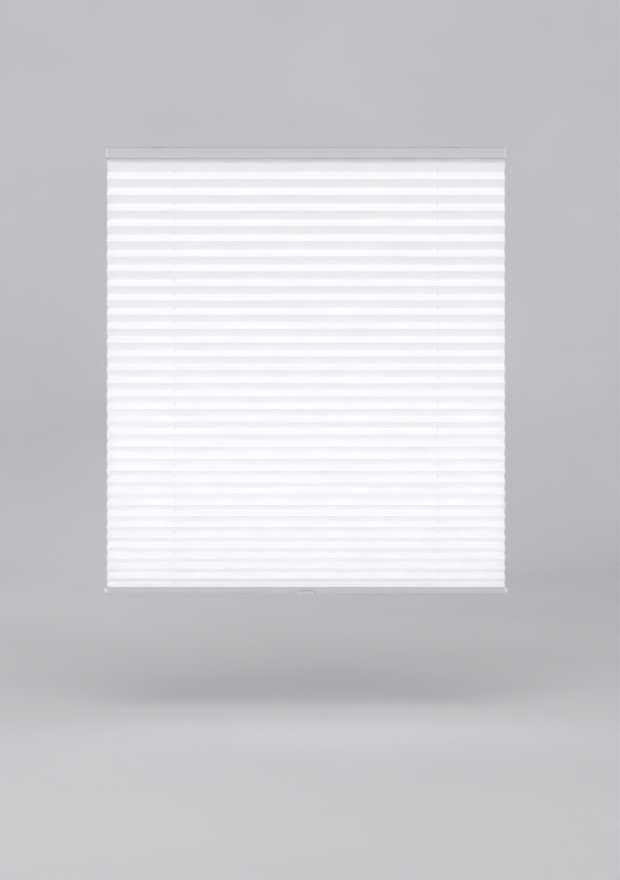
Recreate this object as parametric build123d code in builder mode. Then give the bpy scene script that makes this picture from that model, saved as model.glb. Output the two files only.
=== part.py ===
"""A cordless pleated blind: head rail, pleated fabric and bottom rail with a finger grip.

Lengths are millimetres. +Z is up, +X is to the right as seen from the room and +Y points
to the glass. The origin is the middle of the surface that the two brackets are screwed to,
so the blind hangs down from z = 0. It is modelled about three quarters let down.
"""
from build123d import *
import math
import os

# ------------------------------------------------------------------ overall sizes
fabric_width = 816.0  # the pleated fabric, side to side
rail_length = 812.0  # both rails, without their end caps
hang_height = 877.0  # the fabric as it hangs, from head rail to bottom rail
full_drop = 1117.0  # the same height with the blind let right down

# ------------------------------------------------------------------ pleated fabric
pleat_face = 20.0  # fold to fold, along the cloth
drawn_pitch = 33.8  # one pleat's height with the blind let right down
fabric_thickness = 0.3
hole_to_back_fold = 4.0  # the cord holes sit close to the folds on the glass side
fabric_hole_radius = 1.0
first_face_share = 0.55  # the faces at the two rails are cut short
last_face_share = 0.8
pitch_evenness = 1.27  # how the pitch evens out as the fabric is drawn out
flap_length = 6.0  # the end of the cloth that lies against its strip
flap_trim = 0.5  # how far the flaps stop short of the rails' ends
flap_notch = 0.3  # how far the cut that narrows a flap runs out of its rail

# ------------------------------------------------------------------ head rail
head_depth = 25.0
head_height = 20.0
head_wall = 1.2
head_lip = 3.3  # turned-in top edges that the brackets grip
corner_radius = 1.0
bracket_thickness = 1.2

# ------------------------------------------------------------------ bottom rail
bottom_depth = 24.0
bottom_height = 12.5
bottom_wall = 1.1

# ------------------------------------------------------------------ fabric strips and slots
strip_thickness = 1.2
strip_side_gap = 0.4
slot_lip = 1.0
slot_height = 2.0
slot_mouth = 6.0
slot_grip = 3.4  # how far a strip reaches past each edge of its mouth
mouth_cord_gap = 1.2  # from the lift cords to the back edge of the head rail's mouth
contact_gap = 0.05

# ------------------------------------------------------------------ cords and their winder
cord_radius = 0.4
cord_spacing = 540.0  # between the two lift cords
gear_module = 1.0
gear_teeth = 17
gear_backlash = 0.16
gear_thickness = 2.8
pressure_angle = math.radians(20.0)
flank_steps = 6  # points along one side of a tooth, less one
cover_gap = 0.1  # between the winder's cover and the rail's lips
spool_barrel_radius = 5.0
spring_barrel_radius = 4.6
storage_barrel_radius = 3.6
flange_thickness = 0.8
flange_gap = 0.6  # between the rims of neighbouring wheels
axle_radius = 1.5
running_gap = 0.06  # radial, a wheel on its axle
seat_gap = 0.02  # radial, a fixed pin in its hole
end_float = 0.3  # axial play of a wheel
spring_band_side_gap = 0.6
spring_band_thickness = 0.3
spring_gap = 0.3
spring_drum_coil = 2.0  # thickness of the band's turns on each drum
storage_drum_coil = 2.4

# ------------------------------------------------------------------ winder housing
base_floor = 1.4
housing_corner = 1.5
housing_edge = 0.3
cover_thickness = 1.3
housing_wall_gap = 0.3
housing_end = 10.0
wheel_room = 0.4
screw_radius = 1.0
screw_head_radius = 1.8
screw_head_height = 0.9
screw_length = 7.3
screw_hole_depth = 7.0  # in the base
screw_slot = 0.4
cord_exit_radius = 1.1

# ------------------------------------------------------------------ guide rollers
roller_groove_radius = 3.5
roller_rim_radius = 4.9
roller_width = 4.8
roller_side_gap = 0.2
roller_rim_width = 0.3
roller_groove_width = 1.2
roller_pin_radius = 1.0
cheek_thickness = 1.75
cheek_wall = 2.0  # round the pin
cradle_floor = 1.2
cradle_length = 17.0
nozzle_radius = 2.0
nozzle_bore_radius = 0.9
nozzle_gap = 0.1

# ------------------------------------------------------------------ brackets
bracket_spacing = 600.0
bracket_length = 26.0
bracket_depth = 22.0
bracket_leg_gap = 0.2
bracket_hook = 2.4
bracket_screw_hole = 2.2
bracket_corner = 3.0

# ------------------------------------------------------------------ end caps and grip
cap_thickness = 2.0
cap_plug_length = 12.0
cap_plug_gap = 0.15
cap_plug_wall = 1.5
cap_edge = 0.6
nose_height = 8.0
nose_depth = 13.0
nose_length = 4.6
nose_edge = 1.8
grip_width = 41.0
grip_height = 6.3
grip_reach = 9.0
grip_wall = 1.5
grip_edge = 1.2
grip_peg_radius = 1.3
grip_peg_length = 3.2
grip_peg_spacing = 24.0
grip_peg_height = 2.6
anchor_radius = 2.5
anchor_height = 4.0
knot_radius = 1.1
bottom_cord_hole = 1.2

# ------------------------------------------------------------------ places worked out from them
head_top = -bracket_thickness
head_bottom = head_top - head_height
head_slot_floor = head_bottom + slot_lip
head_slot_roof = head_slot_floor + slot_height
head_floor = head_slot_roof + head_wall
lip_underside = head_top - head_wall
head_inner = head_depth / 2 - head_wall

bottom_top = head_bottom - hang_height
bottom_bottom = bottom_top - bottom_height
bottom_slot_roof = bottom_top - slot_lip
bottom_slot_floor = bottom_slot_roof - slot_height
bottom_inner = bottom_depth / 2 - bottom_wall
chamber_floor = bottom_bottom + bottom_wall
chamber_roof = bottom_slot_floor - bottom_wall
riser_roof = bottom_top - bottom_wall

winding_radius = spool_barrel_radius + 2 * cord_radius
cord_y = winding_radius + contact_gap + cord_radius
wheel_spacing = gear_module * gear_teeth
wheel_places = [(index - 1.5) * wheel_spacing for index in range(4)]
gear_floor = head_floor + base_floor + end_float
barrel_floor = gear_floor + gear_thickness
cover_top = lip_underside - cover_gap
cover_floor = cover_top - cover_thickness
wheel_top = cover_floor - end_float
flange_floor = wheel_top - flange_thickness
barrel_height = flange_floor - barrel_floor
spring_band_width = barrel_height - 2 * spring_band_side_gap
flange_radius = (wheel_spacing - flange_gap) / 2
gear_pitch_radius = gear_module * gear_teeth / 2
gear_tip_radius = gear_pitch_radius + gear_module
gear_root_radius = gear_pitch_radius - 1.25 * gear_module
gear_base_radius = gear_pitch_radius * math.cos(pressure_angle)

cord_x = cord_spacing / 2
cord_bend_radius = roller_groove_radius + contact_gap + cord_radius
cord_run_z = flange_floor - 2 * cord_radius - cord_radius
roller_x = cord_x - cord_bend_radius
roller_z = cord_run_z - cord_bend_radius
cord_end = riser_roof - anchor_height


# ------------------------------------------------------------------ the folds of the fabric
def fold_line():
    """The middle of the cloth as (y, z) points: flap, pleats, flap."""
    pleats = round(full_drop / drawn_pitch)
    shares = [first_face_share] + [1.0] * (2 * pleats - 1) + [last_face_share]
    fullness = hang_height / (pleat_face * sum(shares))
    gather = fullness**pitch_evenness
    last = len(shares) - 1
    weights = [1 - (1 - gather) * index / last for index in range(last + 1)]
    unit_drop = hang_height / sum(share * weight for share, weight in zip(shares, weights))
    drops = [share * weight * unit_drop for share, weight in zip(shares, weights)]
    slants = [math.sqrt(1 - (weight * unit_drop / pleat_face) ** 2) for weight in weights]

    folds = []
    level = head_bottom
    for index in range(1, last + 1):
        level -= drops[index - 1]
        slant = (slants[index - 1] + slants[index]) / 2
        front = index % 2 == 1
        reach = hole_to_back_fold - pleat_face if front else hole_to_back_fold
        folds.append((cord_y + reach * slant, level))

    start_y = folds[0][0] + first_face_share * pleat_face * slants[0]
    end_y = folds[-1][0] - last_face_share * pleat_face * slants[-1]
    return [(start_y, head_bottom)] + folds + [(end_y, bottom_top)]


folded = fold_line()
riser_wall = cord_y - anchor_radius - contact_gap
bottom_strip = (strip_side_gap - bottom_inner, riser_wall - bottom_wall - strip_side_gap)
head_mouth_y = folded[0][0]
# Where the last face would meet the rail too far back, it is led forward until its flap fits its strip.
bottom_mouth_y = min(folded[-1][0], bottom_strip[1] - flap_length)
folded[-1] = (bottom_mouth_y, bottom_top)
head_flap_z = head_slot_floor + contact_gap + fabric_thickness / 2
bottom_flap_z = bottom_slot_roof - contact_gap - fabric_thickness / 2
head_strip_floor = head_flap_z + fabric_thickness / 2 + contact_gap
bottom_strip_roof = bottom_flap_z - fabric_thickness / 2 - contact_gap

# The head rail's mouth also lets the lift cords through, so it reaches back past them.
head_mouth = (head_mouth_y - slot_mouth / 2, cord_y + cord_radius + mouth_cord_gap)
bottom_mouth = (bottom_mouth_y - slot_mouth / 2, bottom_mouth_y + slot_mouth / 2)
head_strip = (head_mouth[0] - slot_grip, min(head_mouth[1] + slot_grip, head_inner - strip_side_gap))


def both_sides(points, thickness):
    """The outline of a folded sheet, with mitred folds, from its middle line."""
    middle = [Vector(*point) for point in points]
    runs = [(end - start).normalized() for start, end in zip(middle, middle[1:])]
    normals = [Vector(-run.Y, run.X) for run in runs]
    before = [normals[0]] + normals
    after = normals + [normals[-1]]
    mitres = [(one + two) / (1 + one.dot(two)) * (thickness / 2) for one, two in zip(before, after)]
    upper = [point + mitre for point, mitre in zip(middle, mitres)]
    lower = [point - mitre for point, mitre in zip(middle, mitres)]
    return [(point.X, point.Y) for point in upper + lower[::-1]]


def region(y_span, z_span, mode=Mode.ADD):
    """A rectangle of the open sketch between two pairs of levels."""
    with Locations((sum(y_span) / 2, sum(z_span) / 2)):
        Rectangle(y_span[1] - y_span[0], z_span[1] - z_span[0], mode=mode)


pieces = {}

# ------------------------------------------------------------------ head rail
with BuildPart() as head_rail:
    with BuildSketch(Plane.YZ):
        with Locations((0, (head_top + head_bottom) / 2)):
            RectangleRounded(head_depth, head_height, corner_radius)
        region((-head_inner, head_inner), (head_floor, lip_underside), Mode.SUBTRACT)
        region((head_lip - head_inner, head_inner - head_lip), (lip_underside, head_top), Mode.SUBTRACT)
        cavity = (head_strip[0] - strip_side_gap, head_strip[1] + strip_side_gap)
        region(cavity, (head_slot_floor, head_slot_roof), Mode.SUBTRACT)
        region(head_mouth, (head_bottom, head_slot_floor), Mode.SUBTRACT)
        step = (-head_inner, cavity[0] - head_wall)
        region(step, (head_bottom + head_wall, head_floor), Mode.SUBTRACT)
    extrude(amount=rail_length / 2, both=True)
    with Locations(*[(side * cord_x, cord_y, head_floor) for side in (-1, 1)]):
        Cylinder(nozzle_radius + nozzle_gap, 4 * head_wall, mode=Mode.SUBTRACT)
pieces["head_rail"] = head_rail


# ------------------------------------------------------------------ head rail end caps
def make_head_cap(side):
    """An end cap: a plate over the rail's end and a hollow plug inside it."""
    with BuildPart() as cap:
        with BuildSketch(Plane.YZ.offset(side * rail_length / 2)):
            with Locations((0, (head_top + head_bottom) / 2)):
                RectangleRounded(head_depth, head_height, corner_radius)
        extrude(amount=side * cap_thickness)
        outer = cap.faces().sort_by(Axis.X)[-1 if side > 0 else 0]
        chamfer(outer.edges(), cap_edge)
        inset = head_inner - cap_plug_gap
        levels = (head_floor + cap_plug_gap, lip_underside - cap_plug_gap)
        with BuildSketch(Plane.YZ.offset(side * rail_length / 2)):
            region((-inset, inset), levels)
            hollow = inset - cap_plug_wall
            region((-hollow, hollow), (levels[0] + cap_plug_wall, levels[1] - cap_plug_wall), Mode.SUBTRACT)
        extrude(amount=-side * cap_plug_length)
    return cap


pieces["head_cap_left"] = make_head_cap(-1)
pieces["head_cap_right"] = make_head_cap(1)


# ------------------------------------------------------------------ brackets
def make_bracket(side):
    """A clip of folded strip: a plate with a screw hole and two hooks under the rail's lips."""
    leg_face = head_inner - head_lip - bracket_leg_gap
    hook_top = lip_underside - contact_gap
    hook_bottom = hook_top - bracket_thickness
    with BuildPart() as bracket:
        with BuildSketch(Plane.YZ.offset(side * bracket_spacing / 2)):
            region((-bracket_depth / 2, bracket_depth / 2), (-bracket_thickness, 0))
            for way in (-1, 1):
                leg = sorted((way * leg_face, way * (leg_face - bracket_thickness)))
                hook = sorted((way * (leg_face - bracket_thickness), way * (leg_face + bracket_hook)))
                region(leg, (hook_bottom, -bracket_thickness))
                region(hook, (hook_bottom, hook_top))
        extrude(amount=bracket_length / 2, both=True)
        fillet(bracket.edges().filter_by(Axis.Z).group_by(Axis.Z)[-1], bracket_corner)
        with Locations((side * bracket_spacing / 2, 0, 0)):
            Hole(bracket_screw_hole, depth=2 * bracket_thickness)
    return bracket


pieces["bracket_left"] = make_bracket(-1)
pieces["bracket_right"] = make_bracket(1)

# ------------------------------------------------------------------ winder housing
housing_half_depth = head_inner - housing_wall_gap
chamber_radius = gear_tip_radius + wheel_room
housing_half_length = wheel_places[-1] + chamber_radius + housing_end
screw_x = housing_half_length - housing_end / 2
screw_spots = [(side * screw_x, row) for side in (-1, 1) for row in (-5.5, 1.5)]
axle_spots = [(place, 0) for place in wheel_places]

with BuildPart() as motor_base:
    with BuildSketch(Plane.XY.offset(head_floor)):
        RectangleRounded(2 * housing_half_length, 2 * housing_half_depth, housing_corner)
    extrude(amount=cover_floor - head_floor)
    with BuildSketch(Plane.XY.offset(head_floor + base_floor)):
        SlotCenterToCenter(wheel_places[-1] - wheel_places[0], 2 * chamber_radius)
    extrude(amount=cover_floor - head_floor, mode=Mode.SUBTRACT)
    with BuildSketch(Plane.XY.offset(head_floor)):
        with Locations(*axle_spots):
            Circle(axle_radius + seat_gap)
    extrude(amount=base_floor, mode=Mode.SUBTRACT)
    with BuildSketch(Plane.XY.offset(cover_floor)):
        with Locations(*screw_spots):
            Circle(screw_radius + seat_gap)
    extrude(amount=-screw_hole_depth, mode=Mode.SUBTRACT)
    with BuildSketch(Plane.YZ):
        groove = (cord_y - cord_exit_radius, cord_y + cord_exit_radius)
        region(groove, (cord_run_z - cord_exit_radius, cover_floor))
    extrude(amount=housing_half_length, both=True, mode=Mode.SUBTRACT)
pieces["motor_base"] = motor_base

with BuildPart() as motor_cover:
    with BuildSketch(Plane.XY.offset(cover_floor)):
        RectangleRounded(2 * housing_half_length, 2 * housing_half_depth, housing_corner)
        with Locations(*axle_spots):
            Circle(axle_radius + seat_gap, mode=Mode.SUBTRACT)
        with Locations(*screw_spots):
            Circle(screw_radius + seat_gap, mode=Mode.SUBTRACT)
    extrude(amount=cover_thickness)
    chamfer(motor_cover.faces().sort_by(Axis.Z)[-1].outer_wire().edges(), housing_edge)
pieces["motor_cover"] = motor_cover

with BuildPart() as motor_screws:
    with BuildSketch(Plane.XY.offset(cover_top)):
        with Locations(*screw_spots):
            Circle(screw_radius)
    extrude(amount=-screw_length)
    with BuildSketch(Plane.XY.offset(cover_top)):
        with Locations(*screw_spots):
            Circle(screw_head_radius)
    extrude(amount=screw_head_height)
    with BuildSketch(Plane.XY.offset(cover_top + screw_head_height)):
        with Locations(*screw_spots):
            Rectangle(2 * screw_radius, screw_slot)
            Rectangle(screw_slot, 2 * screw_radius)
    extrude(amount=-screw_head_height / 2, mode=Mode.SUBTRACT)
pieces["motor_screws"] = motor_screws

with BuildPart() as wheel_axles:
    with BuildSketch(Plane.XY.offset(head_floor)):
        with Locations(*axle_spots):
            Circle(axle_radius)
    extrude(amount=cover_top - head_floor)
pieces["wheel_axles"] = wheel_axles


# ------------------------------------------------------------------ gear wheels of the winder
def tooth_outline():
    """One tooth pointing along +X: a straight foot and two involute flanks."""
    pitch_width = (math.pi * gear_module - gear_backlash) / 2
    half_angle = pitch_width / (2 * gear_pitch_radius) + math.tan(pressure_angle) - pressure_angle
    start = max(gear_base_radius, gear_root_radius)
    flank = []
    for step in range(flank_steps + 1):
        radius = start + (gear_tip_radius - start) * step / flank_steps
        turn = math.acos(min(1.0, gear_base_radius / radius))
        angle = half_angle - math.tan(turn) + turn
        flank.append((radius * math.cos(angle), radius * math.sin(angle)))
    foot = (gear_root_radius - gear_module / 2, flank[0][1])
    upper = [foot] + flank
    return [(x, -y) for x, y in upper] + upper[::-1]


with BuildSketch(Plane.XY) as gear_face:
    Circle(gear_root_radius)
    with PolarLocations(0, gear_teeth):
        Polygon(*tooth_outline(), align=None)


def make_wheel(index, barrel_radius):
    """A gear with a barrel above it and a rim on top, bored for its axle."""
    place = wheel_places[index]
    # With an even number of teeth, every other gear is turned by half a tooth to mesh.
    turn = 180 / gear_teeth if gear_teeth % 2 == 0 and index % 2 == 1 else 0
    with BuildPart() as wheel:
        with BuildSketch(Plane((place, 0, gear_floor))):
            add(gear_face.sketch, rotation=turn)
        extrude(amount=gear_thickness)
        with BuildSketch(Plane((place, 0, barrel_floor))):
            Circle(barrel_radius)
        extrude(amount=barrel_height)
        with BuildSketch(Plane((place, 0, flange_floor))):
            Circle(flange_radius)
        extrude(amount=flange_thickness)
        with BuildSketch(Plane((place, 0, gear_floor))):
            Circle(axle_radius + running_gap)
        extrude(amount=wheel_top - gear_floor, mode=Mode.SUBTRACT)
    return wheel


pieces["cord_spool_left"] = make_wheel(0, spool_barrel_radius)
pieces["spring_drum"] = make_wheel(1, spring_barrel_radius)
pieces["storage_drum"] = make_wheel(2, storage_barrel_radius)
pieces["cord_spool_right"] = make_wheel(3, spool_barrel_radius)


def make_winding(place):
    """The turns of cord that lie on a spool, as one sleeve."""
    with BuildPart() as winding:
        with BuildSketch(Plane((place, 0, barrel_floor + end_float))):
            Circle(winding_radius)
            Circle(spool_barrel_radius + contact_gap, mode=Mode.SUBTRACT)
        extrude(amount=barrel_height - 2 * end_float)
    return winding


pieces["cord_winding_left"] = make_winding(wheel_places[0])
pieces["cord_winding_right"] = make_winding(wheel_places[3])

# ------------------------------------------------------------------ counterbalance spring
# A steel band, wound one way on the storage drum and the other way on the spring drum, so
# it crosses from side to side between them. Each drum's turns are one ring.
spring_bore = spring_barrel_radius + spring_gap
storage_bore = storage_barrel_radius + spring_gap
spring_turns = (spring_bore, spring_bore + spring_drum_coil)
storage_turns = (storage_bore, storage_bore + storage_drum_coil)
band_floor = barrel_floor + spring_band_side_gap

with BuildPart() as spring_band:
    with BuildSketch(Plane.XY.offset(band_floor)):
        for place, turns in ((wheel_places[1], spring_turns), (wheel_places[2], storage_turns)):
            with Locations((place, 0)):
                Circle(turns[1])
                Circle(turns[0], mode=Mode.SUBTRACT)
        reach_one = spring_turns[1] - spring_band_thickness / 2
        reach_two = storage_turns[1] - spring_band_thickness / 2
        lean = math.acos((reach_one + reach_two) / wheel_spacing)
        leave = Vector(wheel_places[1] + reach_one * math.cos(lean), reach_one * math.sin(lean))
        arrive = Vector(wheel_places[2] - reach_two * math.cos(lean), -reach_two * math.sin(lean))
        bridge = arrive - leave
        with Locations(Location((leave + arrive) / 2, math.degrees(math.atan2(bridge.Y, bridge.X)))):
            Rectangle(bridge.length, spring_band_thickness)
    extrude(amount=spring_band_width)
pieces["spring_band"] = spring_band


# ------------------------------------------------------------------ guide rollers and cradles
def make_roller(side):
    """A grooved roller that turns a cord from the rail's length to straight down."""
    centre = (side * roller_x, cord_y, roller_z)
    half = roller_width / 2
    bore = roller_pin_radius + running_gap
    groove = roller_groove_width / 2
    profile = [
        (bore, -half),
        (roller_rim_radius, -half),
        (roller_rim_radius, roller_rim_width - half),
        (roller_groove_radius, -groove),
        (roller_groove_radius, groove),
        (roller_rim_radius, half - roller_rim_width),
        (roller_rim_radius, half),
        (bore, half),
    ]
    with BuildPart() as roller:
        with BuildSketch(Plane(centre)):
            Polygon(*profile, align=None)
        revolve(axis=Axis(centre, (0, 1, 0)))
    return roller


def make_roller_pin(side):
    """The steel pin that a guide roller turns on."""
    reach = roller_width / 2 + roller_side_gap + cheek_thickness
    with BuildPart() as pin:
        with BuildSketch(Plane((side * roller_x, cord_y - reach, roller_z), z_dir=(0, 1, 0))):
            Circle(roller_pin_radius)
        extrude(amount=2 * reach)
    return pin


def make_cradle(side):
    """A moulded carrier: a floor, two cheeks for the pin and a nozzle through the rail's floor."""
    inner = roller_width / 2 + roller_side_gap
    outer = inner + cheek_thickness
    rear = cord_y + outer
    cheek_radius = roller_pin_radius + cheek_wall
    with BuildPart() as cradle:
        with BuildSketch(Plane.XY.offset(head_floor)):
            with Locations((side * roller_x, cord_y)):
                Rectangle(cradle_length, 2 * outer)
        extrude(amount=cradle_floor)
        for start in (cord_y - outer, cord_y + inner):
            with BuildSketch(Plane((side * roller_x, start, 0), x_dir=(-1, 0, 0), z_dir=(0, 1, 0))):
                with Locations((0, roller_z)):
                    Circle(cheek_radius)
                region((-cheek_radius, cheek_radius), (head_floor, roller_z))
            extrude(amount=cheek_thickness)
        with BuildSketch(Plane((side * roller_x, rear, roller_z), z_dir=(0, -1, 0))):
            Circle(roller_pin_radius + seat_gap)
        extrude(amount=2 * outer, mode=Mode.SUBTRACT)
        with BuildSketch(Plane((side * cord_x, cord_y, head_slot_roof))):
            Circle(nozzle_radius)
        extrude(amount=head_wall)
        with BuildSketch(Plane((side * cord_x, cord_y, head_slot_roof))):
            Circle(nozzle_bore_radius)
        extrude(amount=head_wall + cradle_floor, mode=Mode.SUBTRACT)
    return cradle


for side, name in ((-1, "left"), (1, "right")):
    pieces["guide_roller_" + name] = make_roller(side)
    pieces["roller_pin_" + name] = make_roller_pin(side)
    pieces["roller_cradle_" + name] = make_cradle(side)


# ------------------------------------------------------------------ lift cords
def make_lift_cord(side):
    """A cord from its spool, along the rail, round its roller and down to its knot."""
    spool_x = wheel_places[-1] if side > 0 else wheel_places[0]
    with BuildPart() as cord:
        with BuildLine():
            run = Line((spool_x, cord_y, cord_run_z), (side * roller_x, cord_y, cord_run_z))
            diagonal = cord_bend_radius * math.sqrt(0.5)
            bend = ThreePointArc(
                run @ 1,
                (side * (roller_x + diagonal), cord_y, roller_z + diagonal),
                (side * cord_x, cord_y, roller_z),
            )
            Line(bend @ 1, (side * cord_x, cord_y, cord_end))
        with BuildSketch(Plane(run @ 0, z_dir=run % 0)):
            Circle(cord_radius)
        sweep()
        with Locations((side * cord_x, cord_y, cord_end - knot_radius)):
            Sphere(knot_radius)
    return cord


pieces["lift_cord_left"] = make_lift_cord(-1)
pieces["lift_cord_right"] = make_lift_cord(1)

# ------------------------------------------------------------------ pleated fabric and its strips
head_flap = [(head_mouth_y - flap_length, head_flap_z), (head_mouth_y, head_flap_z)]
bottom_flap = [(bottom_mouth_y, bottom_flap_z), (bottom_mouth_y + flap_length, bottom_flap_z)]
fabric_middle = head_flap + folded + bottom_flap

with BuildPart() as pleated_fabric:
    with BuildSketch(Plane.YZ):
        with BuildLine():
            Polyline(*both_sides(fabric_middle, fabric_thickness), close=True)
        make_face()
    extrude(amount=fabric_width / 2, both=True)
    with Locations(*[(side * cord_x, cord_y, (head_bottom + bottom_top) / 2) for side in (-1, 1)]):
        Cylinder(fabric_hole_radius, hang_height + 2 * head_height, mode=Mode.SUBTRACT)
    for levels in ((head_bottom - flap_notch, head_slot_roof), (bottom_slot_floor, bottom_top + flap_notch)):
        for side in (-1, 1):
            with BuildSketch(Plane.YZ.offset(side * (rail_length / 2 - flap_trim))):
                region((-head_depth, head_depth), levels)
            extrude(amount=side * fabric_width, mode=Mode.SUBTRACT)
pieces["pleated_fabric"] = pleated_fabric

with BuildPart() as head_fabric_strip:
    with BuildSketch(Plane.YZ):
        region(head_strip, (head_strip_floor, head_strip_floor + strip_thickness))
    extrude(amount=rail_length / 2, both=True)
    with Locations(*[(side * cord_x, cord_y, head_strip_floor) for side in (-1, 1)]):
        Cylinder(fabric_hole_radius, 4 * strip_thickness, mode=Mode.SUBTRACT)
pieces["head_fabric_strip"] = head_fabric_strip

with BuildPart() as bottom_fabric_strip:
    with BuildSketch(Plane.YZ):
        region(bottom_strip, (bottom_strip_roof - strip_thickness, bottom_strip_roof))
    extrude(amount=rail_length / 2, both=True)
pieces["bottom_fabric_strip"] = bottom_fabric_strip

# ------------------------------------------------------------------ bottom rail
with BuildPart() as bottom_rail:
    with BuildSketch(Plane.YZ):
        with Locations((0, (bottom_top + bottom_bottom) / 2)):
            RectangleRounded(bottom_depth, bottom_height, corner_radius)
        cavity = (bottom_strip[0] - strip_side_gap, bottom_strip[1] + strip_side_gap)
        region(cavity, (bottom_slot_floor, bottom_slot_roof), Mode.SUBTRACT)
        region(bottom_mouth, (bottom_slot_roof, bottom_top), Mode.SUBTRACT)
        region((-bottom_inner, bottom_inner), (chamber_floor, chamber_roof), Mode.SUBTRACT)
        region((riser_wall, bottom_inner), (chamber_floor, riser_roof), Mode.SUBTRACT)
    extrude(amount=rail_length / 2, both=True)
    with Locations(*[(side * cord_x, cord_y, bottom_top) for side in (-1, 1)]):
        Cylinder(bottom_cord_hole, 4 * bottom_wall, mode=Mode.SUBTRACT)
    peg_z = bottom_bottom + grip_peg_height
    with BuildSketch(Plane((0, -bottom_depth / 2, peg_z), x_dir=(1, 0, 0), z_dir=(0, -1, 0))):
        with Locations(*[(side * grip_peg_spacing / 2, 0) for side in (-1, 1)]):
            Circle(grip_peg_radius + seat_gap)
    extrude(amount=-2 * bottom_wall, mode=Mode.SUBTRACT)
pieces["bottom_rail"] = bottom_rail


def make_bottom_cap(side):
    """An end cap: a plate, a plug in the rail's chamber and a rounded nose that meets the frame."""
    with BuildPart() as cap:
        with BuildSketch(Plane.YZ.offset(side * rail_length / 2)):
            with Locations((0, (bottom_top + bottom_bottom) / 2)):
                RectangleRounded(bottom_depth, bottom_height, corner_radius)
        extrude(amount=side * cap_thickness)
        with BuildSketch(Plane.YZ.offset(side * (rail_length / 2 + cap_thickness))):
            with Locations((0, (bottom_top + bottom_bottom) / 2)):
                RectangleRounded(nose_depth, nose_height, nose_edge)
        extrude(amount=side * nose_length)
        outer = cap.faces().sort_by(Axis.X)[-1 if side > 0 else 0]
        fillet(outer.edges(), nose_edge)
        inset = bottom_inner - cap_plug_gap
        levels = (chamber_floor + cap_plug_gap, chamber_roof - cap_plug_gap)
        with BuildSketch(Plane.YZ.offset(side * rail_length / 2)):
            region((-inset, inset), levels)
            hollow = inset - cap_plug_wall
            region((-hollow, hollow), (levels[0] + cap_plug_wall, levels[1] - cap_plug_wall), Mode.SUBTRACT)
        extrude(amount=-side * cap_plug_length)
    return cap


pieces["bottom_cap_left"] = make_bottom_cap(-1)
pieces["bottom_cap_right"] = make_bottom_cap(1)

# ------------------------------------------------------------------ finger grip
# A small hood on the front of the bottom rail, open below, on two pegs.
grip_plane = Plane((0, -bottom_depth / 2, bottom_bottom), x_dir=(1, 0, 0), z_dir=(0, -1, 0))
with BuildPart() as finger_grip:
    with BuildSketch(grip_plane):
        Ellipse(grip_width / 2, grip_height)
        with Locations((0, -grip_height)):
            Rectangle(2 * grip_width, 2 * grip_height, mode=Mode.SUBTRACT)
    extrude(amount=grip_reach)
    front = finger_grip.faces().sort_by(Axis.Y)[0]
    fillet(front.edges().sort_by(Axis.Z)[-1], grip_edge)
    with BuildSketch(grip_plane.offset(grip_wall)):
        Ellipse(grip_width / 2 - grip_wall, grip_height - grip_wall)
        with Locations((0, -grip_height)):
            Rectangle(2 * grip_width, 2 * grip_height, mode=Mode.SUBTRACT)
    extrude(amount=grip_reach - 2 * grip_wall, mode=Mode.SUBTRACT)
    with BuildSketch(grip_plane):
        with Locations(*[(side * grip_peg_spacing / 2, grip_peg_height) for side in (-1, 1)]):
            Circle(grip_peg_radius)
    extrude(amount=-grip_peg_length)
pieces["finger_grip"] = finger_grip


# ------------------------------------------------------------------ cord anchors
def make_anchor(side):
    """The bead under the bottom rail's roof that a lift cord's knot pulls against."""
    with BuildPart() as anchor:
        with BuildSketch(Plane((side * cord_x, cord_y, cord_end))):
            Circle(anchor_radius)
            Circle(cord_radius + contact_gap, mode=Mode.SUBTRACT)
        extrude(amount=anchor_height)
    return anchor


pieces["cord_anchor_left"] = make_anchor(-1)
pieces["cord_anchor_right"] = make_anchor(1)

# ------------------------------------------------------------------ write one file for each piece
os.makedirs("parts", exist_ok=True)
for name, piece in pieces.items():
    piece.part.label = name
    export_step(piece.part, f"parts/{name}.step")

flat_runs = [(Vector(*end) - Vector(*start)).length for start, end in zip(fabric_middle, fabric_middle[1:])]
print("flat length of the fabric", round(sum(flat_runs), 1))
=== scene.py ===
"""A cordless pleated blind: its cloth, cords, spring and finishes, with a small studio round it.

Lengths are metres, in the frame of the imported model: +X is to the right as seen from the
room, +Y points to the glass and +Z is up. The origin lies in the plane that the brackets are
screwed to, so the blind hangs down from z = 0.
"""

import logging
import math
import random
from contextlib import contextmanager
from dataclasses import dataclass, field
from enum import Enum
from functools import cache
from typing import Callable, Iterable, Iterator, Sequence

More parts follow.
